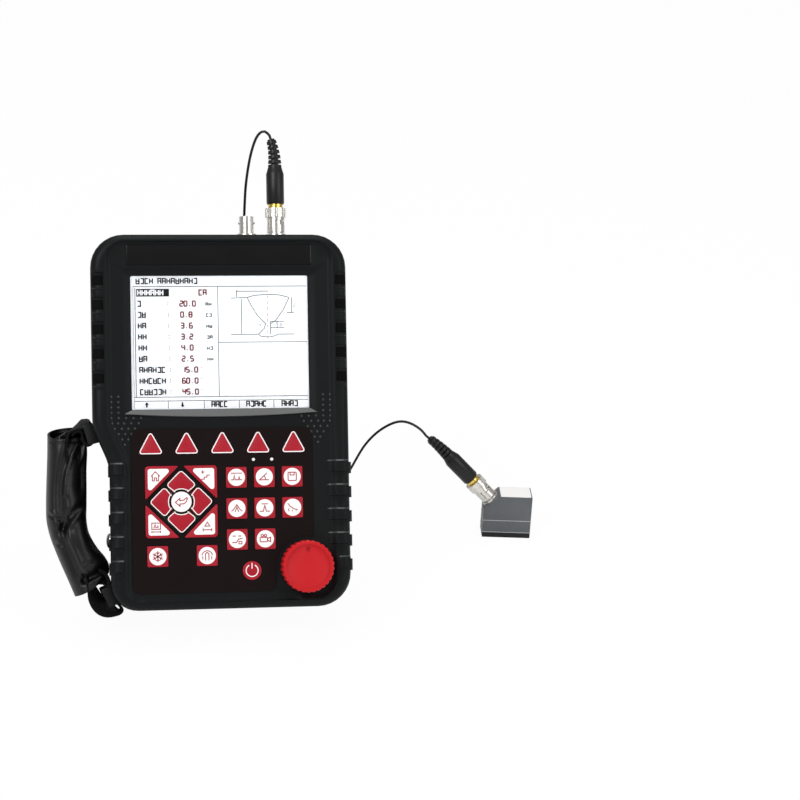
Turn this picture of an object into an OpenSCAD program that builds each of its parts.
// Portable ultrasonic flaw detector with hand strap, rear stand, probe lead and angle-beam probe.
// Lengths are in millimetres. The unit is drawn upright with its front towards -Y, its back at
// y = 0 and its underside at z = 0, and then leans back against its stand on the floor z = 0.

/* [Housing] */
// Width of the housing
body_w = 168; // [164:1:176]
// Height of the housing without its sockets
body_h = 246; // [243:1:262]
// Depth from the front rim to the back
body_d = 61; // [59:1:70]
// Wall thickness of both shells
wall = 3; // [2.6:0.1:3.4]
// Thickness of the front panel
panel_t = 3; // [2.4:0.1:3.6]
// Depth of the rear shell
rear_d = 24; // [23:0.5:27]
// How far the lower left side is drawn in for the hand
waist_in = 10.7; // [8:0.1:11]
// Height of the drawn-in part
waist_h = 95; // [92:1:98]
// Radius of the top and lower right corners
corner_r = 22; // [18:1:24]
// Radius of the lower left corner
left_corner_r = 18.5; // [15:0.5:20]
// How much further in each side is at the back than at the front
side_draft = 3; // [1:0.5:3.5]
// Radius of the rolled front rim
rim_r = 6; // [4:0.5:7]
// Width of the front rim
rim_w = 10.4; // [9.6:0.2:10.6]
// Step from the rim down to the panel
panel_drop = 2; // [1.6:0.2:3]
// Radius of the rear edge
rear_r = 5; // [3:0.5:6]
// Gap between the shells that the seal fills
seal_t = 0.5; // [0.3:0.1:0.8]
// Angle at which the unit leans back
lean = 25; // [21:1:28]

/* [Grips] */
// Number of recessed pads on each upper side, and of ribs on each lower side
grip_count = 5; // [3:1:5]
// Pitch of the pads and ribs
grip_pitch = 15.9; // [14:0.1:16.2]
// Height of a pad
grip_h = 8.5; // [6:0.5:10]
// Width of a pad on the front rim
grip_w = 8.3; // [6:0.1:8.6]
// Depth of a pad
grip_t = 1.5; // [0.8:0.1:2]
// Height of the middle of the top pad below the top of the housing
grip_top = 30; // [28:1:34]
// Height of a rib
rib_h = 7.4; // [5:0.2:9]
// How far the left ribs stand out
rib_left = 1; // [0.5:0.1:1.5]
// How far the right ribs stand out
rib_right = 1.5; // [0.8:0.1:2]

/* [Screen] */
// Width of the picture
screen_w = 115.2; // [108:0.2:118]
// Distance from the top of the housing to the picture
screen_top = 28.3; // [27.5:0.1:30]
// Distance from the picture to the keypad
screen_gap = 13; // [12:0.1:15]
// Width of the bezel's slope at the sides
bezel_side = 6; // [4:0.2:6.4]
// Height of the bezel's slope above the picture
bezel_top = 3.4; // [2.5:0.1:3.8]
// Height of the sloping ledge under the picture
bezel_ledge = 5.6; // [4:0.2:6]
// Width of the name strip
strip_w = 121; // [100:1:124]
// Height of the name strip
strip_h = 13.2; // [10:0.2:14]
// Distance from the top of the housing to the name strip
strip_top = 7.6; // [7.2:0.1:9]
// Thickness of the name strip
strip_t = 0.7; // [0.4:0.1:1]
// Thickness of the window
window_t = 1.2; // [1:0.1:2]
// Thickness of the display module
lcd_t = 6; // [5:0.5:8]

/* [Keypad] */
// Width of the keypad overlay
overlay_w = 118; // [116:1:122]
// Height of the keypad overlay
overlay_h = 106.5; // [105.5:0.5:107]
// Height of the overlay's lower edge
overlay_z = 11.8; // [11:0.1:12]
// Thickness of the overlay
overlay_t = 0.6; // [0.4:0.1:0.8]
// Travel of a key
key_travel = 0.8; // [0.4:0.1:1]
// How far a key stands above the overlay
key_proud = 0.8; // [0.4:0.1:0.9]
// Clearance round a key
key_gap = 0.2; // [0.15:0.05:0.3]
// Width of a triangular soft key
soft_w = 16.8; // [14.6:0.1:18]
// Height of a triangular soft key
soft_h = 15.5; // [13.5:0.1:15.8]
// Pitch of the soft keys
soft_pitch = 23.3; // [22.4:0.1:23.6]
// Height of the middle of the soft keys
soft_z = 109.7; // [109:0.1:110]
// Width of the block of direction keys
nav_w = 46.6; // [46:0.2:48]
// Half the diagonal of the diamond of arrow keys
nav_half = 22; // [21:0.5:22.5]
// Sideways place of the direction keys' middle
nav_x = -27.2; // [-29:0.1:-27]
// Height of the direction keys' middle
nav_z = 70.9; // [70:0.1:71.5]
// Radius of the enter key
enter_r = 6.6; // [6:0.1:7]
// Width of a square key
button_w = 13.4; // [12:0.1:14.5]
// Sideways pitch of the square keys
button_pitch_x = 18.3; // [18:0.1:18.8]
// Upward pitch of the square keys
button_pitch_z = 20.2; // [19.6:0.1:20.6]
// Sideways place of the first column of square keys
button_x = 8.8; // [8:0.1:9.4]
// Height of the lowest row of square keys
button_z = 45.7; // [45:0.1:46.4]
// Radius of the power key
power_r = 6.1; // [5.5:0.1:6.8]

/* [Knob] */
// Distance from the right side of the housing to the knob's axis
knob_in = 30.2; // [29.6:0.1:31]
// Height of the knob's axis
knob_z = 27.4; // [26:0.1:28.4]
// Radius of the knob
knob_r = 17; // [15:0.1:17.9]
// Height of the knob above the panel
knob_h = 13; // [10:0.5:16]
// Number of scallops round the knob
knob_scallops = 30; // [18:1:36]
// Radius of the encoder shaft
shaft_r = 3; // [2.5:0.1:3.4]

/* [Sockets] */
// Sideways place of the socket that holds the plug
socket_x = 40.8; // [36:0.2:44]
// Distance between the two sockets
socket_pitch = 19.7; // [17:0.1:21]
// Distance of the sockets in front of the back
socket_in = 32; // [31.5:0.5:34]
// Diameter of a socket's barrel
socket_d = 9.6; // [9:0.1:10]
// Height of a socket above its seat
socket_h = 13.6; // [13:0.1:15]
// Bore of a socket
socket_bore = 8.1; // [7.6:0.1:8.4]
// Radius of the charger jack's bore
jack_r = 2.75; // [2.25:0.05:3]

/* [Plugs and lead] */
// Diameter of the coupling ring's head
ring_d = 13.8; // [13.4:0.1:14.6]
// Height of the coupling ring's head
ring_head_h = 6.2; // [5:0.2:7]
// Height of the gold ferrule
ferrule_h = 2.6; // [2:0.2:4]
// Diameter of the black sleeve
sleeve_d = 11.8; // [10.6:0.1:12.4]
// Height of the black sleeve
sleeve_h = 20.3; // [18:0.1:22]
// Height of the ribbed boot
boot_h = 23.7; // [22:0.1:26]
// Diameter of the lead
cord_d = 1.8; // [1.6:0.1:1.9]

/* [Probe] */
// Length of the probe
probe_l = 34.7; // [33:0.1:38]
// Width of the probe
probe_w = 18; // [17:0.5:22]
// Height of the probe
probe_h = 32; // [31:0.5:34]
// Height of the wedge's sole
sole_h = 3.8; // [2.5:0.1:5]
// Size of the corner cut off for the socket, along each side
probe_cut = 11; // [10.5:0.1:12]
// Wall of the probe's case
probe_wall = 1.6; // [1.2:0.1:2]

/* [Stand and feet] */
// Angle between the open stand and the back
stand_angle = 40; // [34:1:46]
// Height of the stand's hinge
stand_z = 150; // [145:1:160]
// Overall width of the stand
stand_w = 104; // [96:1:106]
// Width of a stand leg
leg_w = 10; // [8:0.5:12]
// Thickness of a stand leg
leg_t = 5; // [4:0.5:6]
// Radius of the stand's foot bar
bar_r = 5; // [4:0.5:5.5]
// Radius of the hinge pins
pin_r = 2; // [1.5:0.1:2.5]
// Radius of a rubber foot
foot_r = 6.5; // [6:0.1:7]
// Length of a rubber foot
foot_l = 14; // [10:1:18]

/* [Strap] */
// Distance from the side of the housing to the middle of the strap
strap_out = 16.1; // [15.6:0.1:20]
// Half the width of the rolled pad, seen from the front
pad_half_w = 13.3; // [12:0.1:14]
// Half the depth of the rolled pad
pad_half_d = 16; // [15:0.5:18]
// Distance of the strap in front of the back
strap_in = 32; // [30:1:34]
// Width of the strap
strap_w = 26; // [22:1:26]
// Thickness of the strap
strap_t = 1.5; // [1.2:0.1:1.8]
// Radius of the lugs' bars
lug_bar_r = 1.5; // [1.3:0.1:1.8]

/* [Battery and boards] */
// Width of the battery pack
battery_w = 92; // [80:1:94]
// Height of the battery pack
battery_h = 92; // [80:1:96]
// Thickness of the battery pack
battery_t = 15.5; // [12:0.5:15.5]
// Thickness of the circuit boards
board_t = 1.6; // [1:0.2:2]

/* [Hidden] */
$fn = 48;
over = 1;
snug = 0.02;
clear = 0.3;
bite = 1;
smooth = 8;
fine = 4;
charcoal = [0.15, 0.16, 0.17];
key_red = [0.72, 0.11, 0.18];

// Heights and depths that several pieces share
half_w = body_w / 2;
waist_half = half_w - waist_in;
panel_y = panel_drop - body_d;
inner_y = panel_y + panel_t;
split_y = -rear_d;
panel_top = 6;
panel_foot = 6.5;
rim_slope = 1;
crown = 0.7;
waist_rise = 25;
waist_r = 30;
screen_h = body_h - screen_top - screen_gap - overlay_h - overlay_z;
screen_z = body_h - screen_top - screen_h / 2;
window_lip = 3.2;
frame_lip = 4;
lcd_lip = 0.4;

// Keys: their stack behind the panel, and their places
flange_t = 0.8;
flange_w = 0.8;
key_y = panel_y - overlay_t - key_proud;
flange_y = inner_y + clear;
board_y = flange_y + flange_t + key_travel + key_gap;
key_corner_r = 2.2;
sharp_r = 0.5;
soft_corner_r = 1.6;
button_corner_r = 0.8;
corner_gap = 2.9;
nav_gap = 1.1;
enter_gap = 1.4;
plunger_share = 0.6;
plunger_r = 2.5;
lamp_r = 1;
lamp_spots = [[20.2, 97.6], [32.2, 97.6]];
low_keys = [[-43, 35.7], [-11, 35.7]];
power_spot = [18.1, 25.3];
nav_spot = [nav_x, nav_z];

// Knob and encoder
knob_spot = [half_w - knob_in, knob_z];
knob_gap = 0.6;
overlay_gap = 2.6;
dish_r_share = 0.84;
dish_t = 1.4;
scallop_r = 0.95;
mark_r = 1.6;
encoder_w = 13;
encoder_t = 6.5;
bushing_r = shaft_r + 1;
shaft_end = 8;

// Sockets and plugs, along their own axis from the face that carries them
socket_y = -socket_in;
seat_h = 2;
seat_r = 6.6;
thread_r = 5.4;
thread_l = 6;
nut_t = 2.5;
nut_r = 7;
bore_depth = 9;
stud_r = 1.05;
stud_reach = 5.5;
stud_drop = 4;
ring_gap = 1.2;
ring_over = 5.7;
ring_fit = 0.2;
ring_lift = ring_gap + seat_h;
ring_top = socket_h + ring_over;
ring_inner_r = socket_d / 2 + ring_fit;
skirt_r = 5.9;
slot_h = 3;
lip_share = 0.35;
nose_r = 3.4;
ferrule_r = 4.8;
sleeve_z = ring_top + ferrule_h;
boot_z = sleeve_z + sleeve_h;
cone_h = 4.8;
collar_h = 1.3;
neck_h = 1.1;
collar_r = 4.5;
core_r = 2.4;
tip_r = 3.2;
boot_ribs = 5;
unit_bend = 17;
probe_bend = 8;
insulator_r = 2.4;
insulator_h = bore_depth * 0.7;
contact_r = 0.7;
jack_z = 137;
jack_y = -socket_in + 1;
jack_body = 9;

// Housing screws and their bosses, measured in from the sides
boss_r = 4;
boss_in = 9.2;
screw_r = 1.5;
head_r = 2.75;
head_t = 2.5;
head_sink = 8;
screw_reach = 12;
screw_top = body_h - corner_r - boss_r;
screw_spots = [[half_w - boss_in, screw_top], [-half_w + boss_in, screw_top],
    [half_w - boss_in, waist_h + waist_rise + boss_r],
    [-half_w + boss_in, waist_h + waist_rise + boss_r * 3],
    [half_w - boss_in, corner_r + boss_r], [-waist_half + boss_in, left_corner_r + boss_r]];

// Battery bay and its cover
bay_gap = 0.5;
bay_wall = 2;
bay_z = 24;
cover_t = 2.4;
cover_lip = 6;
cover_gap = 0.25;
bay_w = battery_w + 2 * bay_gap;
bay_h = battery_h + 2 * bay_gap;
bay_depth = cover_t + battery_t + 2 * bay_gap;
cover_screws = [[0, bay_z - cover_lip / 2], [0, bay_z + bay_h + cover_lip / 2]];
tripod_r = 3.175;
tripod_depth = 9;
tripod_over = 50;
tripod_z = bay_z + bay_h + tripod_over;
tripod_boss_r = 9;

// Main board
main_w = 122;
main_z = 14;
main_top = 14;
main_y = -37;
post_r = 3;
board_lip = 1.5;
post_in = 4.5;

// Stand: its pivot, and the leg that brings the foot bar down to the floor
lug_r = 5;
lug_w = 4;
pin_y = leg_t + clear * 2;
function world(p) = [p.x, p.y * cos(lean) + p.z * sin(lean), p.z * cos(lean) - p.y * sin(lean) + lift];
foot_proud = 1.5;
foot_in = foot_r - foot_proud;
lift = foot_r - foot_in * (sin(lean) + cos(lean));
pivot = world([0, pin_y, stand_z]);
leg_l = (pivot.z - bar_r) / cos(stand_angle - lean);
foot_x = stand_w / 2 - foot_l / 2;

// Lugs that hold the strap
strap_x = half_w + strap_out;
lug_t = 3.5;
lug_gap = 1;
lug_h = 13;
lug_corner = 1;
lug_edge = lug_bar_r + clear;
lug_stand = lug_bar_r + clear * 2 + strap_t;
lug_share = 0.86;
upper_turn = 14;
low_turn = 204;
upper_lug = [-half_w + waist_in * (1 - lug_share), waist_h + waist_rise * lug_share]
    - lug_stand * [cos(upper_turn), sin(upper_turn)];
lower_lug = [-waist_half + left_corner_r, left_corner_r]
    + (left_corner_r + lug_stand) * [cos(low_turn), sin(low_turn)];

// The middle of the object without its lead, which the origin sits under
left_end = -strap_x - pad_half_w;
right_end = half_w + rib_right;
front_end = (panel_y - knob_h) * cos(lean) + (knob_spot.y - knob_r + scallop_r) * sin(lean);
back_end = max(pivot.y + leg_l * sin(stand_angle - lean) + bar_r, body_h * sin(lean));
middle = [(left_end + right_end) / 2, (front_end + back_end) / 2];

// Probe: where it lies on the floor, and how it is turned
probe_spot = [201.8, 95.9];
probe_turn = -7;
probe_tilt = 45;
cut_mid = [probe_cut / 2, probe_w / 2, probe_h - probe_cut / 2];

// Key table: name, kind, place, turn
KEYS = concat(
    [for (i = [0:4]) [str("key_soft_", i + 1), "soft", [(i - 2) * soft_pitch, soft_z], 0]],
    [for (i = [0:3]) [["key_home", "key_gate", "key_range", "key_gain"][i], "corner", nav_spot, i * 90]],
    [for (i = [0:3]) [["key_up", "key_left", "key_down", "key_right"][i], "arrow", nav_spot, i * 90]],
    [["key_enter", "enter", nav_spot, 0]],
    [for (i = [0:7]) [str("key_function_", i + 1), "button",
        [button_x + (i % 3) * button_pitch_x, button_z + (2 - floor(i / 3)) * button_pitch_z], 0]],
    [["key_freeze", "button", low_keys[0], 0], ["key_echo", "button", low_keys[1], 0]],
    [["key_power", "power", power_spot, 0]]);

// Outlines with rounded corners, listed anticlockwise
function dir(v) = v / norm(v);
function corner(a, b, c, r, n) =
    let (u = dir(a - b), v = dir(c - b), half = acos(u * v) / 2,
        mid = b + dir(u + v) * r / sin(half), from = b + u * r / tan(half),
        start = atan2(from.y - mid.y, from.x - mid.x),
        bend = (b.x - a.x) * (c.y - b.y) - (b.y - a.y) * (c.x - b.x),
        sweep = sign(bend) * (180 - 2 * half))
    [for (i = [0:n]) mid + r * [cos(start + sweep * i / n), sin(start + sweep * i / n)]];
function rounded(p, r, n = fine) = [for (i = [0:len(p) - 1])
    each corner(p[(i + len(p) - 1) % len(p)], p[i], p[(i + 1) % len(p)], is_list(r) ? r[i] : r, n)];
function grown(p, g) = [for (i = [0:len(p) - 1])
    let (b = p[i], u = dir(p[(i + len(p) - 1) % len(p)] - b), v = dir(p[(i + 1) % len(p)] - b),
        half = acos(u * v) / 2)
    b - dir(u + v) * g / sin(half)];
function box_points(x0, z0, x1, z1) = [[x0, z1], [x0, z0], [x1, z0], [x1, z1]];

// The housing's outline, drawn in by side, top and foot
function outline(side, top, foot) =
    let (up = side * tan(atan2(waist_in, waist_rise) / 2))
    rounded([[-half_w + side, body_h - top], [-half_w + side, waist_h + waist_rise + up],
        [-waist_half + side, waist_h + up], [-waist_half + side, foot],
        [half_w - side, foot], [half_w - side, body_h - top]],
        [corner_r - side, waist_r - side, waist_r + side, left_corner_r - side,
        corner_r - side, corner_r - side], smooth);
function draft_at(y) = side_draft * (body_d + y) / body_d;
function shell(i, y) = outline(i + draft_at(y), i, i);
function at_depth(points, y) = [for (p = points) [p.x, y, p.y]];

// Closed solid through rings of equal point counts
module loft(rings) {
    n = len(rings[0]);
    last = len(rings) - 1;
    sides = [for (k = [0:last - 1], j = [0:n - 1])
        let (a = k * n + j, b = k * n + (j + 1) % n) each [[a, b, b + n], [a, b + n, a + n]]];
    polyhedron(points = [for (r = rings) each r],
        faces = concat([[for (j = [n - 1:-1:0]) j]], sides, [[for (j = [0:n - 1]) last * n + j]]));
}

// Sweep of a section along a path, turning with it
function carry(e, t) = dir(e - (e * t) * t);
function tangents(p) = [for (i = [0:len(p) - 1]) dir(p[min(i + 1, len(p) - 1)] - p[max(i - 1, 0)])];
function sweep(path, section, first, t) =
    let (es = [for (i = 0, e = carry(first, t[0]); i < len(path);
        i = i + 1, e = i < len(path) ? carry(e, t[i]) : e) e])
    [for (i = [0:len(path) - 1]) let (e = es[i], f = cross(e, t[i]))
        [for (s = is_list(section[0][0]) ? section[i] : section) path[i] + s.x * e + s.y * f]];

// Frames: the leaning unit, the floor, and a slab between two depths of the unit
module leaning() translate([-middle.x, -middle.y, lift]) rotate([-lean, 0, 0]) children();
module on_floor() translate([-middle.x, -middle.y, 0]) children();
module along_y(y0, y1) translate([0, y1, 0]) rotate([90, 0, 0]) linear_extrude(y1 - y0) children();
module at(spot) translate([spot.x, spot.y]) children();
module socket_frame(x) translate([x, socket_y, body_h]) children();
module probe_frame() on_floor() translate([probe_spot.x, probe_spot.y, 0]) rotate([0, 0, probe_turn])
    children();
module probe_socket_frame() probe_frame() translate(cut_mid) rotate([0, -probe_tilt, 0]) children();

// Flat shapes of the keys, each about its own place
soft_points = [[-soft_w / 2, -soft_h / 2], [soft_w / 2, -soft_h / 2], [0, soft_h / 2]];
nav_corner = nav_w / 2;
corner_points = [[-nav_corner, nav_corner], [-nav_corner, corner_gap / 2],
    [-corner_gap / 2, nav_corner]];
corner_rs = [key_corner_r, sharp_r, sharp_r];
diamond_points = [[0, nav_half], [-nav_half, 0], [0, -nav_half], [nav_half, 0]];
arrow_half = nav_half / 2 - nav_gap;
arrow_points = [[0, nav_half / 2 + arrow_half], [-arrow_half, nav_half / 2],
    [0, nav_half / 2 - arrow_half], [arrow_half, nav_half / 2]];

module key_shape(kind, grow) {
    if (kind == "soft") polygon(rounded(grown(soft_points, grow), soft_corner_r + grow));
    if (kind == "corner") polygon(rounded(grown(corner_points, grow), corner_rs + [grow, grow, grow]));
    if (kind == "arrow") difference() {
        polygon(rounded(arrow_points, key_corner_r));
        circle(r = enter_r + enter_gap);
    }
    if (kind == "enter") circle(r = enter_r);
    if (kind == "button") polygon(rounded(grown(box_points(-button_w / 2, -button_w / 2,
        button_w / 2, button_w / 2), grow), button_corner_r + grow));
    if (kind == "power") circle(r = power_r + grow);
}

module key(k) color(key_red) leaning() translate([k[2].x, 0, k[2].y]) {
    along_y(key_y, flange_y) rotate(k[3]) key_shape(k[1], 0);
    if (k[1] == "arrow" || k[1] == "enter")
        along_y(flange_y, flange_y + flange_t) rotate(k[3])
            at([0, k[1] == "arrow" ? nav_half * plunger_share : 0]) circle(r = plunger_r);
    else along_y(flange_y, flange_y + flange_t) rotate(k[3]) key_shape(k[1], flange_w);
}

module key_openings() {
    for (k = KEYS) if (k[1] != "arrow" && k[1] != "enter") at(k[2]) rotate(k[3]) key_shape(k[1], key_gap);
    at(nav_spot) polygon(rounded(grown(diamond_points, key_gap), key_corner_r + key_gap));
    for (s = lamp_spots) at(s) circle(r = lamp_r + key_gap);
}

// Rectangle of the keypad with the corner under the knob left out
module keypad_shape(lip, radius) difference() {
    left = -overlay_w / 2 - lip;
    right = overlay_w / 2 + lip;
    notch = knob_spot.x - knob_r - overlay_gap;
    foot = overlay_z - lip;
    top = overlay_z + overlay_h + lip;
    polygon(rounded([[left, top], [left, foot], [notch, foot], [notch, knob_spot.y],
        [right, knob_spot.y], [right, top]], [radius, radius, radius, rim_slope, rim_slope, radius]));
    at(knob_spot) circle(r = knob_r + overlay_gap);
}

module keypad_overlay() color([0.1, 0.07, 0.075]) leaning() difference() {
    along_y(panel_y - overlay_t, panel_y) keypad_shape(0, corner_r / 4);
    along_y(panel_y - overlay_t - over, panel_y + over) key_openings();
}

board_posts = [[-overlay_w / 2 - board_lip + post_in, overlay_z - board_lip + post_in],
    [-overlay_w / 2 - board_lip + post_in, overlay_z + overlay_h + board_lip - post_in],
    [overlay_w / 2 + board_lip - post_in, overlay_z + overlay_h + board_lip - post_in],
    [knob_spot.x - knob_r - overlay_gap - post_in, overlay_z - board_lip + post_in]];

module boss_notches(y) along_y(y - over, y + board_t + over)
    for (s = screw_spots) at(s) circle(r = boss_r + clear);

module keypad_board() color("darkgreen") leaning() difference() {
    along_y(board_y, board_y + board_t) keypad_shape(board_lip, key_corner_r);
    boss_notches(board_y);
}

module indicator_lights() color("palegreen") leaning()
    for (s = lamp_spots) along_y(panel_y - overlay_t - clear, board_y) at(s) circle(r = lamp_r);

// Screen
module screen_shape(x, top, foot, radius) polygon(rounded(screen_points(x, top, foot), radius));
function screen_points(x, top, foot) = box_points(-screen_w / 2 - x, screen_z - screen_h / 2 - foot,
    screen_w / 2 + x, screen_z + screen_h / 2 + top);

module bezel_cut() {
    slope = (panel_t - bite) / (bezel_side - lcd_lip);
    out = over / slope;
    wide = rounded(screen_points(bezel_side + out, bezel_top + out, bezel_ledge + out), rim_slope * 4);
    loft([at_depth(wide, panel_y - over),
        at_depth(rounded(screen_points(lcd_lip, lcd_lip, lcd_lip), rim_slope), inner_y - bite)]);
    along_y(inner_y - bite - snug, inner_y + over) screen_shape(lcd_lip, lcd_lip, lcd_lip, rim_slope);
}

module display_window() color([0.75, 0.85, 0.9]) leaning()
    along_y(inner_y, inner_y + window_t) screen_shape(window_lip, window_lip, window_lip, rim_slope);

module lcd_panel() color("whitesmoke") leaning()
    along_y(inner_y + window_t, inner_y + window_t + lcd_t)
        screen_shape(frame_lip, frame_lip, frame_lip, rim_slope);

module strip_shape(grow) polygon(rounded(grown(box_points(-strip_w / 2, body_h - strip_top - strip_h,
    strip_w / 2, body_h - strip_top), grow), rim_slope));

module name_strip() color([0.03, 0.03, 0.03]) leaning()
    along_y(panel_y - strip_t / 2, panel_y + strip_t / 2) strip_shape(0);

// Front housing: rolled rim, recessed panel, grips, ribs and bosses
function rim_ring(i, y) = at_depth(outline(i + draft_at(y), i + crown, i + crown), y);
module front_skin() loft(concat(
    [for (k = [0:6]) rim_ring(rim_r * (1 - sin(15 * k)), rim_r * (1 - cos(15 * k)) - body_d)],
    [for (y = [socket_y - seat_r - over, split_y - seal_t / 2]) at_depth(shell(0, y), y)]));

module panel_cut() loft([
    at_depth(outline(rim_w - rim_slope * 2, panel_top - rim_slope * 2, panel_foot - rim_slope * 2),
        panel_y - 2 * panel_drop),
    at_depth(outline(rim_w, panel_top, panel_foot), panel_y)]);

// Section of a recessed pad on the rim, seen from above, that runs out into the rim's rounding
grip_end = 65;
module grip_section() {
    y = grip_t - body_d;
    end = [half_w - rim_r * (1 - sin(grip_end)), rim_r * (1 - cos(grip_end)) - body_d];
    polygon([[half_w - grip_w, -body_d - over], [half_w - grip_w, y], [half_w - rim_r, y], end,
        [half_w + over, -body_d - over]]);
}

// Section of a rib that wraps round the rim, seen from above
module rib_section(side, out) {
    y = -body_d - out / 3;
    inside = wall - bite / 2;
    back = split_y - rim_r;
    foot = side - draft_at(back);
    outer = corner([side - rim_w, y], [side + out, y], [foot + out, back], rim_r, fine);
    polygon(concat([[side - rim_w + rim_slope, y]], outer, [[foot + out, back], [foot - inside, back],
        [side - inside, inside - body_d], [side - rim_w + rim_slope, inside - body_d]]));
}

module grips() for (i = [0:grip_count - 1], m = [0, 1])
    translate([0, 0, body_h - grip_top - grip_h / 2 - i * grip_pitch]) mirror([m, 0, 0])
        linear_extrude(grip_h) grip_section();

module ribs(side, out) for (i = [0:grip_count - 1])
    translate([0, 0, waist_h - rib_h - i * grip_pitch]) linear_extrude(rib_h) rib_section(side, out);

module front_housing() color(charcoal) leaning() difference() {
    union() {
        difference() {
            front_skin();
            loft([for (y = [inner_y, split_y]) at_depth(shell(wall, y), y)]);
        }
        ribs(half_w, rib_right);
        mirror([1, 0, 0]) ribs(waist_half, rib_left);
        for (s = screw_spots) along_y(inner_y - bite, split_y - seal_t / 2) at(s) circle(r = boss_r);
        for (s = board_posts) along_y(inner_y - bite, board_y) at(s) circle(r = plunger_r);
    }
    panel_cut();
    grips();
    bezel_cut();
    along_y(panel_y - strip_t / 2, panel_y + strip_t / 2) strip_shape(clear / 2);
    along_y(panel_y - over, inner_y + over) key_openings();
    along_y(panel_y - over, inner_y + over) at(knob_spot) circle(r = bushing_r + snug);
    for (s = screw_spots) along_y(split_y - screw_reach, split_y) at(s) circle(r = screw_r + snug);
    for (i = [0, 1]) socket_frame(socket_x - i * socket_pitch) translate([0, 0, -wall - over])
        cylinder(r = thread_r + snug, h = wall + 2 * over);
    translate([half_w - draft_at(jack_y) - wall - over, jack_y, jack_z]) rotate([0, 90, 0])
        cylinder(r = jack_body / 2, h = wall + 3 * over);
}

module housing_seal() color("dimgray") leaning()
    along_y(split_y - seal_t / 2, split_y + seal_t / 2) difference() {
        polygon(shell(seal_t / 2, split_y));
        polygon(shell(wall, split_y));
        for (s = screw_spots) at(s) circle(r = boss_r);
    }

// Rear housing: battery bay, hinge lugs, tripod thread and pockets for the feet
function rear_ring(i, y) = at_depth(shell(i, y), y);
module rear_skin() loft(concat([rear_ring(0, split_y + seal_t / 2)],
    [for (k = [0:4]) rear_ring(rear_r * (1 - cos(22.5 * k)), rear_r * (sin(22.5 * k) - 1))]));

module bay_shape(grow, up = 0) translate([-bay_w / 2 - grow, bay_z - grow - up])
    square([bay_w + 2 * grow, bay_h + 2 * grow + 2 * up]);

module hinge_lug(x) {
    translate([x - lug_w / 2, pin_y, stand_z]) rotate([0, 90, 0]) cylinder(r = lug_r, h = lug_w);
    translate([x - lug_w / 2, -bite, stand_z - lug_r]) cube([lug_w, pin_y + bite, 2 * lug_r]);
}

leg_mid = stand_w / 2 - leg_w / 2;
lug_mids = [leg_mid - leg_w / 2 - clear - lug_w / 2, leg_mid + leg_w / 2 + clear + lug_w / 2];
main_posts = [[-main_w / 2 + post_in, body_h - main_top - post_in],
    [main_w / 2 - post_in, body_h - main_top - post_in],
    [-main_w / 2 + post_in, bay_z + bay_h + post_in * 2],
    [main_w / 2 - post_in, bay_z + bay_h + post_in * 2]];

module rear_housing() color(charcoal) leaning() difference() {
    union() {
        difference() {
            rear_skin();
            loft([rear_ring(wall, split_y), rear_ring(wall, -wall)]);
        }
        along_y(-bay_depth - bay_wall, -wall + snug) bay_shape(bay_wall);
        for (s = screw_spots) along_y(split_y + seal_t / 2, -wall + snug) at(s) circle(r = boss_r);
        for (s = main_posts) along_y(main_y, -wall + snug) at(s) circle(r = post_r);
        along_y(-tripod_depth - bay_wall, -wall + snug) at([0, tripod_z]) circle(r = tripod_boss_r);
        for (x = lug_mids) {
            hinge_lug(x);
            hinge_lug(-x);
        }
    }
    along_y(-bay_depth, over) bay_shape(0);
    along_y(-cover_t, over) bay_shape(cover_gap, cover_lip);
    for (s = cover_screws) along_y(-cover_t - head_sink, 0) at(s) circle(r = screw_r + snug);
    for (s = screw_spots) {
        along_y(split_y - over, over) at(s) circle(r = screw_r + snug);
        along_y(-head_sink, over) at(s) circle(r = head_r + clear / 2);
    }
    along_y(-tripod_depth, over) at([0, tripod_z]) circle(r = tripod_r);
    for (x = [-1, 1]) translate([x * foot_x - foot_l / 2 - clear / 2, -foot_in, foot_in]) rotate([0, 90, 0])
        cylinder(r = foot_r + snug, h = foot_l + clear);
    translate([-stand_w / 2 - lug_w - over, pin_y, stand_z]) rotate([0, 90, 0])
        cylinder(r = pin_r + snug, h = stand_w + 2 * lug_w + 2 * over);
}

module battery_pack() color("royalblue") leaning()
    along_y(-cover_t - bay_gap - battery_t, -cover_t - bay_gap)
        translate([-battery_w / 2, bay_z + bay_gap]) square([battery_w, battery_h]);

module battery_cover() color(charcoal) leaning() difference() {
    along_y(-cover_t, 0) bay_shape(0, cover_lip);
    for (s = cover_screws) along_y(-cover_t - over, over) at(s) circle(r = screw_r + snug);
    for (s = cover_screws) along_y(-cover_t / 2, over) at(s) circle(r = head_r + clear / 2);
}

module rubber_feet() color([0.06, 0.06, 0.06]) leaning()
    for (x = [-1, 1]) translate([x * foot_x - foot_l / 2, -foot_in, foot_in]) rotate([0, 90, 0])
        cylinder(r = foot_r, h = foot_l);

module screw(y, reach) {
    along_y(y, y + head_t) circle(r = head_r);
    along_y(y - reach, y + snug) circle(r = screw_r);
}

module housing_screws() color("silver") leaning() {
    for (s = screw_spots) translate([s.x, 0, s.y])
        screw(-head_sink, rear_d + screw_reach - head_sink - clear);
    for (s = cover_screws) translate([s.x, 0, s.y]) {
        along_y(-cover_t / 2, -clear) circle(r = head_r);
        along_y(-cover_t - head_sink + clear, -cover_t / 2 + snug) circle(r = screw_r);
    }
}

// Boards behind the panel
chip_t = 2.5;
chip_shares = [[0.3, 0.62, 0.2], [0.62, 0.7, 0.14], [0.36, 0.84, 0.12], [0.7, 0.86, 0.16]];

jack_end = half_w - draft_at(jack_y) - clear * 2;

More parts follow.
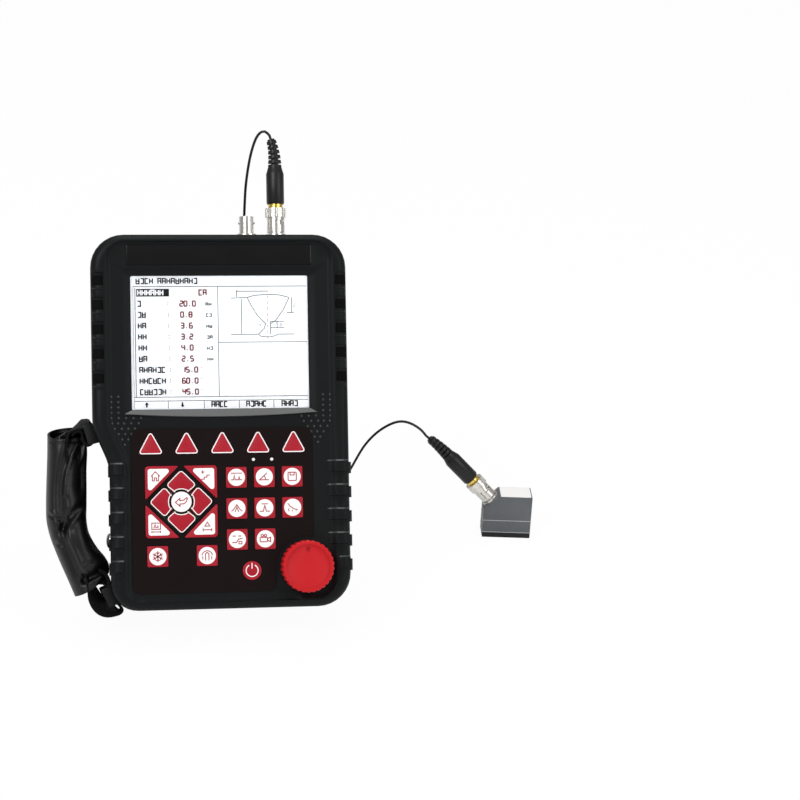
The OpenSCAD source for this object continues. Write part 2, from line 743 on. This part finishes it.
module main_board() color("seagreen") leaning() {
    difference() {
        along_y(main_y - board_t, main_y) translate([-main_w / 2, main_z])
            square([main_w, body_h - main_top - main_z]);
        boss_notches(main_y - board_t);
    }
    for (c = chip_shares)
        along_y(main_y - board_t - chip_t, main_y - board_t)
            translate([(c.x - 0.5) * main_w, c.y * (body_h - main_top)]) square(c.z * main_w, center = true);
    difference() {
        union() {
            translate([main_w / 2 - jack_body, main_y, jack_z - jack_body / 2])
                cube([jack_end - wall - main_w / 2 + jack_body, jack_y - main_y + jack_body / 2,
                    jack_body]);
            translate([main_w / 2, jack_y, jack_z]) rotate([0, 90, 0])
                cylinder(r = jack_body / 2 - clear, h = jack_end - main_w / 2);
        }
        translate([jack_end - bore_depth, jack_y, jack_z]) rotate([0, 90, 0])
            cylinder(r = jack_r, h = bore_depth + over);
    }
}

// Knob, its encoder and shaft
module encoder() color("silver") leaning() translate([knob_spot.x, 0, knob_spot.y]) difference() {
    union() {
        along_y(inner_y, inner_y + encoder_t) square(encoder_w, center = true);
        along_y(panel_y - knob_gap, inner_y + snug) circle(r = bushing_r);
    }
    along_y(panel_y - knob_gap - over, inner_y + encoder_t - bite) circle(r = shaft_r + snug * 2);
}

module encoder_shaft() color("gainsboro") leaning() translate([knob_spot.x, 0, knob_spot.y])
    along_y(panel_y - knob_gap - shaft_end, inner_y + encoder_t - bite - clear) circle(r = shaft_r);

module knob() color([0.83, 0.16, 0.19]) leaning() translate([knob_spot.x, 0, knob_spot.y]) difference() {
    front = panel_y - knob_h;
    back = panel_y - overlay_t - knob_gap;
    union() {
        along_y(front + bite, back) circle(r = knob_r);
        translate([0, front + bite + snug, 0]) rotate([90, 0, 0])
            cylinder(r1 = knob_r, r2 = knob_r - scallop_r, h = bite + snug, $fn = 96);
    }
    for (i = [0:knob_scallops - 1])
        along_y(front - over, back + over) rotate(i * 360 / knob_scallops)
            translate([knob_r + scallop_r * lip_share, 0]) circle(r = scallop_r, $fn = 16);
    along_y(front - over, front + dish_t) circle(r = knob_r * dish_r_share);
    along_y(front, front + dish_t * 2) at([0, knob_r * dish_r_share - mark_r * 2]) circle(r = mark_r);
    along_y(panel_y - knob_gap - shaft_end - clear, back + over) circle(r = shaft_r + snug);
}

// Bayonet socket on its seat, along +Z
module socket_body(below) difference() {
    union() {
        cylinder(r = socket_d / 2, h = socket_h);
        cylinder(r = seat_r, h = seat_h);
        translate([0, 0, -below]) cylinder(r = thread_r, h = below + seat_h);
        for (a = [0, 180]) rotate(a) translate([0, 0, socket_h - stud_drop]) rotate([0, 90, 0])
            cylinder(r = stud_r, h = stud_reach);
    }
    translate([0, 0, socket_h - bore_depth]) cylinder(r = socket_bore / 2, h = bore_depth + over);
}

module socket_insulator() translate([0, 0, socket_h - bore_depth]) difference() {
    cylinder(r = insulator_r, h = insulator_h);
    translate([0, 0, bite]) cylinder(r = contact_r, h = bore_depth);
}

module input_sockets() color("silver") leaning() for (i = [0, 1])
    socket_frame(socket_x - i * socket_pitch) {
        socket_body(wall + thread_l);
        translate([0, 0, -wall - nut_t]) difference() {
            cylinder(r = nut_r, h = nut_t, $fn = 6);
            translate([0, 0, -over]) cylinder(r = thread_r + snug, h = nut_t + 2 * over);
        }
    }

module socket_insulators() color("white") leaning()
    for (i = [0, 1]) socket_frame(socket_x - i * socket_pitch) socket_insulator();

// Coupling ring: knurled head and slotted skirt, open over a quarter turn
knurls = 24;
knurl_r = 0.5;
slot_start = -105;
slot_turn = 120;
module plug_ring() difference() {
    union() {
        translate([0, 0, ring_lift]) cylinder(r = skirt_r, h = ring_top - ring_lift - clear / 3);
        translate([0, 0, ring_top - ring_head_h]) cylinder(r = ring_d / 2, h = ring_head_h - clear / 3);
    }
    translate([0, 0, ring_lift - over])
        cylinder(r = ring_inner_r, h = socket_h + clear * 2 - ring_lift + over);
    cylinder(r = nose_r + clear, h = ring_top + over);
    for (i = [0:knurls - 1]) rotate(i * 360 / knurls) translate([ring_d / 2 + knurl_r / 2, 0, 0])
        cylinder(r = knurl_r, h = ring_top + over, $fn = 12);
    for (a = [0, 180]) rotate(a) {
        translate([0, 0, socket_h - stud_drop - slot_h / 2]) rotate([0, 0, slot_start])
            rotate_extrude(angle = slot_turn) translate([nose_r, 0]) square([skirt_r, slot_h]);
        rotate(-90) translate([0, -slot_h / 2, ring_lift - over])
            cube([skirt_r + over, slot_h, socket_h - stud_drop - ring_lift + over]);
    }
}

module plug_nose() {
    translate([0, 0, ring_top]) cylinder(r = ferrule_r, h = ferrule_h);
    translate([0, 0, socket_h + clear]) cylinder(r = nose_r, h = ring_top - socket_h);
    difference() {
        translate([0, 0, socket_h - bore_depth / 2]) cylinder(r = nose_r, h = bore_depth / 2 + clear * 2);
        translate([0, 0, socket_h - bore_depth / 2 - over])
            cylinder(r = insulator_r + clear, h = bore_depth / 2 + over);
    }
}

// Black sleeve with its ribbed boot, turned about the plug's axis
bend_z = boot_z + cone_h + collar_h + neck_h;
bend_l = boot_z + boot_h - bend_z;
rib_pitch = bend_l / boot_ribs;
sleeve_profile = [[0, sleeve_z], [sleeve_d / 2 - bite / 2, sleeve_z], [sleeve_d / 2, sleeve_z + bite],
    [sleeve_d / 2, boot_z], [collar_r, boot_z + cone_h], [collar_r, boot_z + cone_h + collar_h],
    [core_r, boot_z + cone_h + collar_h], [core_r, bend_z + rib_pitch * lip_share / 2],
    [0, bend_z + rib_pitch * lip_share / 2]];
function boot_r(k) = collar_r + (tip_r - collar_r) * k / boot_ribs;
function boot_turn(bend, k) = bend * k / boot_ribs;
function boot_at(bend, k) = let (r = bend_l * 180 / (PI * bend), a = boot_turn(bend, k))
    [-r * (1 - cos(a)), 0, bend_z + r * sin(a)];

module plug_sleeve(bend) {
    rotate_extrude() polygon(sleeve_profile);
    for (k = [0:boot_ribs - 1]) translate(boot_at(bend, k)) rotate([0, -boot_turn(bend, k + 0.5), 0]) {
        cylinder(r1 = boot_r(k), r2 = boot_r(k + 1), h = rib_pitch * (1 - lip_share));
        translate([0, 0, rib_pitch * lip_share])
            cylinder(r = core_r, h = rib_pitch * (k < boot_ribs - 1 ? 1 - lip_share / 2 : 1 - lip_share));
    }
}

module unit_plug_frame() leaning() socket_frame(socket_x) children();
module unit_plug_ring() color("silver") unit_plug_frame() plug_ring();
module probe_plug_ring() color("silver") probe_socket_frame() plug_ring();
module plug_ferrules() color("gold") {
    unit_plug_frame() plug_nose();
    probe_socket_frame() plug_nose();
}
module plug_sleeves() color([0.05, 0.05, 0.05]) {
    unit_plug_frame() plug_sleeve(unit_bend);
    probe_socket_frame() plug_sleeve(probe_bend);
}

// Probe
probe_side = [[0, sole_h], [probe_l, sole_h], [probe_l, probe_h], [probe_cut, probe_h],
    [0, probe_h - probe_cut]];
wedge_share = [0.25, 0.5];
wedge_side = [[probe_wall * 2, 0], [probe_l - probe_wall * 2, 0],
    [probe_l - probe_wall * 2, probe_h * wedge_share[1]], [probe_wall * 2, probe_h * wedge_share[0]]];

module probe_case() color("gray") difference() {
    probe_frame() difference() {
        along_y(0, probe_w) polygon(probe_side);
        along_y(probe_wall, probe_w - probe_wall) polygon(grown(probe_side, -probe_wall));
        along_y(probe_wall, probe_w - probe_wall) translate([probe_wall, sole_h - over])
            square([probe_l - 2 * probe_wall, probe_wall + 2 * over]);
    }
    probe_socket_frame() translate([0, 0, -probe_wall * 2])
        cylinder(r = thread_r + snug, h = probe_wall * 3);
}

module probe_wedge() color([0.08, 0.08, 0.08]) probe_frame() {
    cube([probe_l, probe_w, sole_h]);
    along_y(probe_wall * 2, probe_w - probe_wall * 2) polygon(wedge_side);
}

module probe_socket() color("silver") probe_socket_frame() {
    socket_body(probe_wall);
    socket_insulator();
}

// Stand, its pins and the strap's lugs
module stand() color("dimgray") leaning() translate([0, pin_y, stand_z]) rotate([stand_angle, 0, 0])
    difference() {
        union() {
            for (m = [-1, 1]) translate([m * leg_mid - leg_w / 2, 0, 0]) {
                rotate([0, 90, 0]) cylinder(r = lug_r, h = leg_w);
                translate([0, -leg_t / 2, -leg_l]) cube([leg_w, leg_t, leg_l]);
            }
            translate([-stand_w / 2, 0, -leg_l]) rotate([0, 90, 0]) cylinder(r = bar_r, h = stand_w);
        }
        translate([-stand_w, 0, 0]) rotate([0, 90, 0]) cylinder(r = pin_r + snug * 2, h = stand_w * 2);
    }

module stand_pins() color("silver") leaning() for (m = [-1, 1])
    translate([m * leg_mid - leg_w / 2 - clear - lug_w, pin_y, stand_z]) rotate([0, 90, 0])
        cylinder(r = pin_r, h = leg_w + 2 * lug_w + 2 * clear);

module strap_lug(spot, turn) {
    strap_y = -strap_in;
    difference() {
        for (m = [-1, 1]) translate([0, strap_y + m * (strap_w / 2 + lug_gap + lug_t / 2), 0])
            along_y(-lug_t / 2, lug_t / 2) at(spot) rotate(turn)
                polygon(rounded(box_points(-lug_edge, -lug_h / 2, lug_stand + side_draft + over,
                    lug_h / 2), lug_corner));
        loft([rear_ring(0, -body_d), rear_ring(0, 0)]);
    }
    along_y(strap_y - strap_w / 2 - lug_gap - lug_t, strap_y + strap_w / 2 + lug_gap + lug_t)
        at(spot) circle(r = lug_bar_r);
}

module strap_lugs() color([0.1, 0.1, 0.1]) leaning() {
    strap_lug(upper_lug, upper_turn);
    strap_lug(lower_lug, low_turn - 180);
}

// Strap: from the upper lug, down through the pad and round to the lower lug
loop_r = lug_bar_r + clear + strap_t / 2;
// Shares of the strap's width, outwards to inwards, and of the upper lug's height
strap_shares = [[0.27, 1.056], [0.1, 1.056], [0, 1.017], [0.02, 0.93], [0.01, 0.724], [0, 0.521],
    [0.085, 0.417], [0.223, 0.348], [0.35, 0.287], [0.4, 0.2], [0.37, 0.1], [0.5, 0.045],
    [0.66, 0.03]];
function strap_point(share) = [share.x * strap_w - strap_x, share.y * upper_lug.y];
strap_path = concat([upper_lug + [-loop_r, loop_r] * sin(45)],
    [for (s = strap_shares) strap_point(s)], [lower_lug + [-loop_r * 0.6, -loop_r * 0.8]]);

module band(path, thick, wide) {
    p = [for (q = path) [q.x, -strap_in, q.y]];
    loft(sweep(p, [[thick / 2, wide / 2], [-thick / 2, wide / 2], [-thick / 2, -wide / 2],
        [thick / 2, -wide / 2]], [1, 0, 0], tangents(p)));
}

module strap_loop(spot) along_y(-strap_in - strap_w / 2, strap_w / 2 - strap_in) at(spot) difference() {
    circle(r = loop_r + strap_t / 2);
    circle(r = loop_r - strap_t / 2);
}

module hand_strap() color([0.07, 0.07, 0.07]) leaning() {
    difference() {
        band(strap_path, strap_t, strap_w);
        for (spot = [upper_lug, lower_lug]) along_y(-body_d, 0) at(spot) circle(r = loop_r);
    }
    strap_loop(upper_lug);
    strap_loop(lower_lug);
}

// Rolled leather pad: two folds with a valley between them, narrower at its creases and its foot
// The third share is that of the pad's half width
pad_shares = [[-0.019, 0.995, 0.78], [0.023, 0.96, 0.93], [0.019, 0.808, 0.97], [0, 0.643, 1],
    [0, 0.521, 0.98], [0.085, 0.417, 0.95], [0.223, 0.348, 1], [0.365, 0.287, 1.08],
    [0.431, 0.226, 1], [0.388, 0.165, 0.66], [0.338, 0.104, 0.34]];
pad_valley_share = 0.14;
pad_points = 28;
valley_turn = 262;
valley_width = 34;

function pad_ring(share) = [for (j = [0:pad_points - 1])
    let (a = 360 * j / pad_points, off = (a - valley_turn) / valley_width,
        dent = 1 - pad_valley_share * exp(-off * off))
    [pad_half_w * share * cos(a), pad_half_d * (1 + share) / 2 * sin(a)] * dent];

module strap_pad() color([0.09, 0.09, 0.1]) leaning() difference() {
    rings = [for (share = pad_shares) let (p = strap_point(share))
        [for (s = pad_ring(share.z)) [p.x + s.x, s.y - strap_in, p.y]]];
    loft([for (r = rings) [for (j = [len(r) - 1:-1:0]) r[j]]]);
    band(strap_path, strap_t + clear * 2, strap_w + clear * 2);
}

// Lead: points chosen by hand on the floor's frame, in order from the unit's plug
cord_sides = 8;
ring_step = 7;
boot_end = world([socket_x, socket_y, body_h] + boot_at(unit_bend, boot_ribs));
boot_dir = world([-sin(unit_bend), 0, cos(unit_bend)]) - world([0, 0, 0]);
function turned(v, a) = [v.x * cos(a) - v.y * sin(a), v.x * sin(a) + v.y * cos(a), v.z];
function tipped(v, a) = [v.x * cos(a) - v.z * sin(a), v.y, v.x * sin(a) + v.z * cos(a)];
probe_dir = turned(tipped([0, 0, 1], probe_tilt + probe_bend), probe_turn);
probe_end = [probe_spot.x, probe_spot.y, 0]
    + turned(cut_mid + tipped(boot_at(probe_bend, boot_ribs), probe_tilt), probe_turn);

drop_points = [[36.3, 104.6, 299.4], [34.6, 105.1, 300.5], [32.6, 105.7, 300.1], [30.4, 106.5, 297.8],
    [28.4, 107.5, 293.2], [26.4, 108.7, 285.2], [24.8, 109.8, 274.7], [23.7, 111, 262], [23.4, 112, 250],
    [23.4, 113.4, 225], [23.2, 115, 195], [23, 117, 160], [22.8, 119.6, 110], [22.6, 122, 60],
    [22.5, 124.6, 30], [22.3, 128, 13], [22, 133, 5], [22, 141, 2.3], [22, 150, 2.1]];
coil_middle = [37, 160];
coil_out_r = 15;
coil_pitch = 2.25;
coil_turns = 3.6;
coil_layers = 4;
coil_foot = 2.1;
coil_sides = 6;
coil_rings = 24;
rise_points = [[64, 160.5, 7], [70, 153.5, 4.2], [77, 146, 2.4], [85, 138.6, 3], [93, 131.5, 11],
    [100, 126, 26], [107.7, 121, 45.5], [113.5, 118, 59.8], [117.6, 116.5, 67.4], [123, 115, 74.5],
    [129, 113.6, 80], [135.5, 112.4, 83.9], [141.3, 111.6, 85.1], [147.7, 111, 83.5], [154.4, 110.2, 79.3]];

// Points along a smooth curve through the chosen ones
function blend(a, b, c, d, t) = ((2 * b) + (c - a) * t + (2 * a - 5 * b + 4 * c - d) * t * t
    + (3 * b - a - 3 * c + d) * t * t * t) / 2;
function curve(p) = concat([for (i = [0:len(p) - 2])
    let (n = max(1, round(norm(p[i + 1] - p[i]) / ring_step)))
    for (k = [0:n - 1]) blend(p[max(i - 1, 0)], p[i], p[i + 1], p[min(i + 2, len(p) - 1)], k / n)],
    [p[len(p) - 1]]);
function circle_points(r, n) = [for (j = [0:n - 1]) r * [cos(360 * j / n), sin(360 * j / n)]];

module tube(path, sides, start, finish) {
    t = concat([start], [for (i = [1:len(path) - 2]) dir(path[i + 1] - path[i - 1])], [finish]);
    loft(sweep(path, circle_points(cord_d / 2, sides), cross(start, [1, 0, 0]), t));
}

// The coil spirals in and out again and climbs a layer as it turns back
function coil_wave(t) = let (u = t / coil_turns, k = floor(u), f = u - k) k % 2 == 0 ? f : 1 - f;
function coil_climb(t) = let (k = round(t / coil_turns), e = t - k * coil_turns)
    k == 0 ? 0 : k == coil_layers ? coil_layers - 1 : k - 1 + min(max(e * 2 + 0.5, 0), 1);
function coil_point(t) = let (r = coil_out_r - coil_pitch * coil_turns * coil_wave(t), a = 180 - 360 * t)
    [coil_middle.x + r * cos(a), coil_middle.y + r * sin(a), coil_foot + coil_pitch * coil_climb(t)];
coil_total = coil_turns * coil_layers;
coil_steps = round(coil_total * coil_rings);
coil_path = [for (i = [0:coil_steps]) coil_point(coil_total * i / coil_steps)];
coil_start = coil_path[0];
coil_end = coil_path[coil_steps];
coil_in = [0, 1, 0];
coil_out = dir([sin(180 - 360 * coil_total), -cos(180 - 360 * coil_total), 0]);

drop_path = curve(concat([boot_end, boot_end + boot_dir * cord_d * 1.5], drop_points,
    [coil_start - coil_in * cord_d, coil_start]));
rise_path = curve(concat([coil_end, coil_end + coil_out * cord_d], rise_points,
    [probe_end + probe_dir * cord_d * 1.5, probe_end]));
function path_length(p) = len(p) < 2 ? 0 : [for (i = 1, s = norm(p[1] - p[0]); i < len(p);
    i = i + 1, s = s + (i < len(p) ? norm(p[i] - p[i - 1]) : 0)) s][len(p) - 2];
function coil_gap() = min([for (i = [0:2:coil_steps - coil_rings], j = [i + 12:coil_steps])
    if (j - i > coil_rings / 2 && j - i < coil_rings * 9) norm(coil_path[i] - coil_path[j])]) - cord_d;
echo(lead_length = path_length(drop_path) + path_length(coil_path) + path_length(rise_path),
    free_rings = len(drop_path) + len(rise_path), coil_turns = coil_total, coil_gap = coil_gap());

module lead() color([0.05, 0.05, 0.05]) on_floor() tube(drop_path, cord_sides, boot_dir, coil_in);
module lead_coil() color([0.05, 0.05, 0.05]) on_floor() tube(coil_path, coil_sides, coil_in, coil_out);
module lead_to_probe() color([0.05, 0.05, 0.05]) on_floor()
    tube(rise_path, cord_sides, coil_out, -probe_dir);

// Tie round the coil's turns
tie_w = 5;
tie_t = 0.8;
tie_turn = 250;
module coil_tie() color("black") on_floor() translate([coil_middle.x, coil_middle.y, 0]) rotate(tie_turn)
    translate([coil_out_r - coil_pitch * coil_turns - cord_d / 2 - clear - tie_t, tie_w / 2, 0])
        rotate([90, 0, 0]) linear_extrude(tie_w) difference() {
            size = [coil_pitch * coil_turns + cord_d + 2 * clear + 2 * tie_t,
                coil_foot + coil_pitch * (coil_layers - 1) + cord_d / 2 + clear + tie_t];
            square(size);
            translate([tie_t, tie_t]) square(size - [2 * tie_t, 2 * tie_t]);
        }

for (k = KEYS) key(k);
front_housing();
rear_housing();
housing_seal();
name_strip();
display_window();
lcd_panel();
keypad_overlay();
keypad_board();
main_board();
housing_screws();
input_sockets();
socket_insulators();
encoder();
encoder_shaft();
battery_pack();
battery_cover();
stand();
stand_pins();
strap_lugs();
hand_strap();
strap_pad();
indicator_lights();
rubber_feet();
knob();
lead();
lead_coil();
lead_to_probe();
coil_tie();
plug_sleeves();
plug_ferrules();
unit_plug_ring();
probe_plug_ring();
probe_case();
probe_wedge();
probe_socket();
